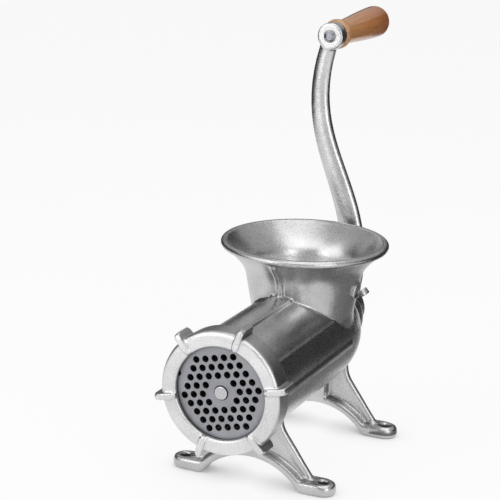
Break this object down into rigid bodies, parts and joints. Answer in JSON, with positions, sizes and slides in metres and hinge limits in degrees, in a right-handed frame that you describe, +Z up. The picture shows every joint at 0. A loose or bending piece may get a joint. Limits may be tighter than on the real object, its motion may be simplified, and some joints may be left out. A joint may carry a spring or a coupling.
{
  "type": "manual meat grinder",
  "caption": "Cast hand-cranked meat grinder with flared hopper, feed screw, knife, holed plate, lugged ring nut and an S-shaped crank with a wooden grip.",
  "frame": {"origin": "middle of the four bolt holes, on the table under the feet", "axes": "+X to the right seen from the outlet, +Y along the screw axis to the crank, +Z up"},
  "size_m": [0.173, 0.4308, 0.423],
  "materials": {
    "tinned_iron": "tinned, satin with a fine cast grain",
    "tool_steel": "ground",
    "steel": "turned, plain",
    "bronze": "bored",
    "fibre": "pressed fibre",
    "varnished_wood": "varnished"
  },
  "bodies": {
    "stand": {"body_casting": "tinned_iron", "plate_key": "steel", "rear_bush": "bronze"},
    "drive": {"auger": "tinned_iron", "knife_stud": "steel", "knife": "tool_steel", "thrust_washer": "fibre", "crank_arm": "tinned_iron", "crank_washer": "steel", "grip_spindle": "steel", "grip_washer": "steel", "grip_end_washer": "steel"},
    "grip": {"grip": "varnished_wood"},
    "plate": {"perforated_plate": "tool_steel"},
    "ring": {"ring_nut": "tinned_iron"},
    "wing_screw": {"wing_screw": "tinned_iron"}
  },
  "joints": [
    {"name": "crank_turn", "type": "hinge", "parent": "stand", "child": "drive", "pos_m": [0, 0, 0.115], "axis": [0, -1, 0], "continuous": true},
    {"name": "grip_spin", "type": "hinge", "parent": "drive", "child": "grip", "pos_m": [-0.022, 0.2, 0.406], "axis": [0, 1, 0], "continuous": true},
    {"name": "plate_slide", "type": "slide", "parent": "stand", "child": "plate", "axis": [0, -1, 0], "range_m": [0, 0.016]},
    {"name": "ring_turn", "type": "hinge", "parent": "plate", "child": "ring", "pos_m": [0, -0.16, 0.115], "axis": [0, -1, 0], "range_deg": [0, 1440]},
    {"name": "wing_screw_turn", "type": "hinge", "parent": "drive", "child": "wing_screw", "pos_m": [0, 0.15, 0.115], "axis": [0, 1, 0], "range_deg": [0, 2160]}
  ],
  "couplings": [
    {"joint": "plate_slide", "follows": "ring_turn", "m_per_rad": 0.00063662}
  ]
}
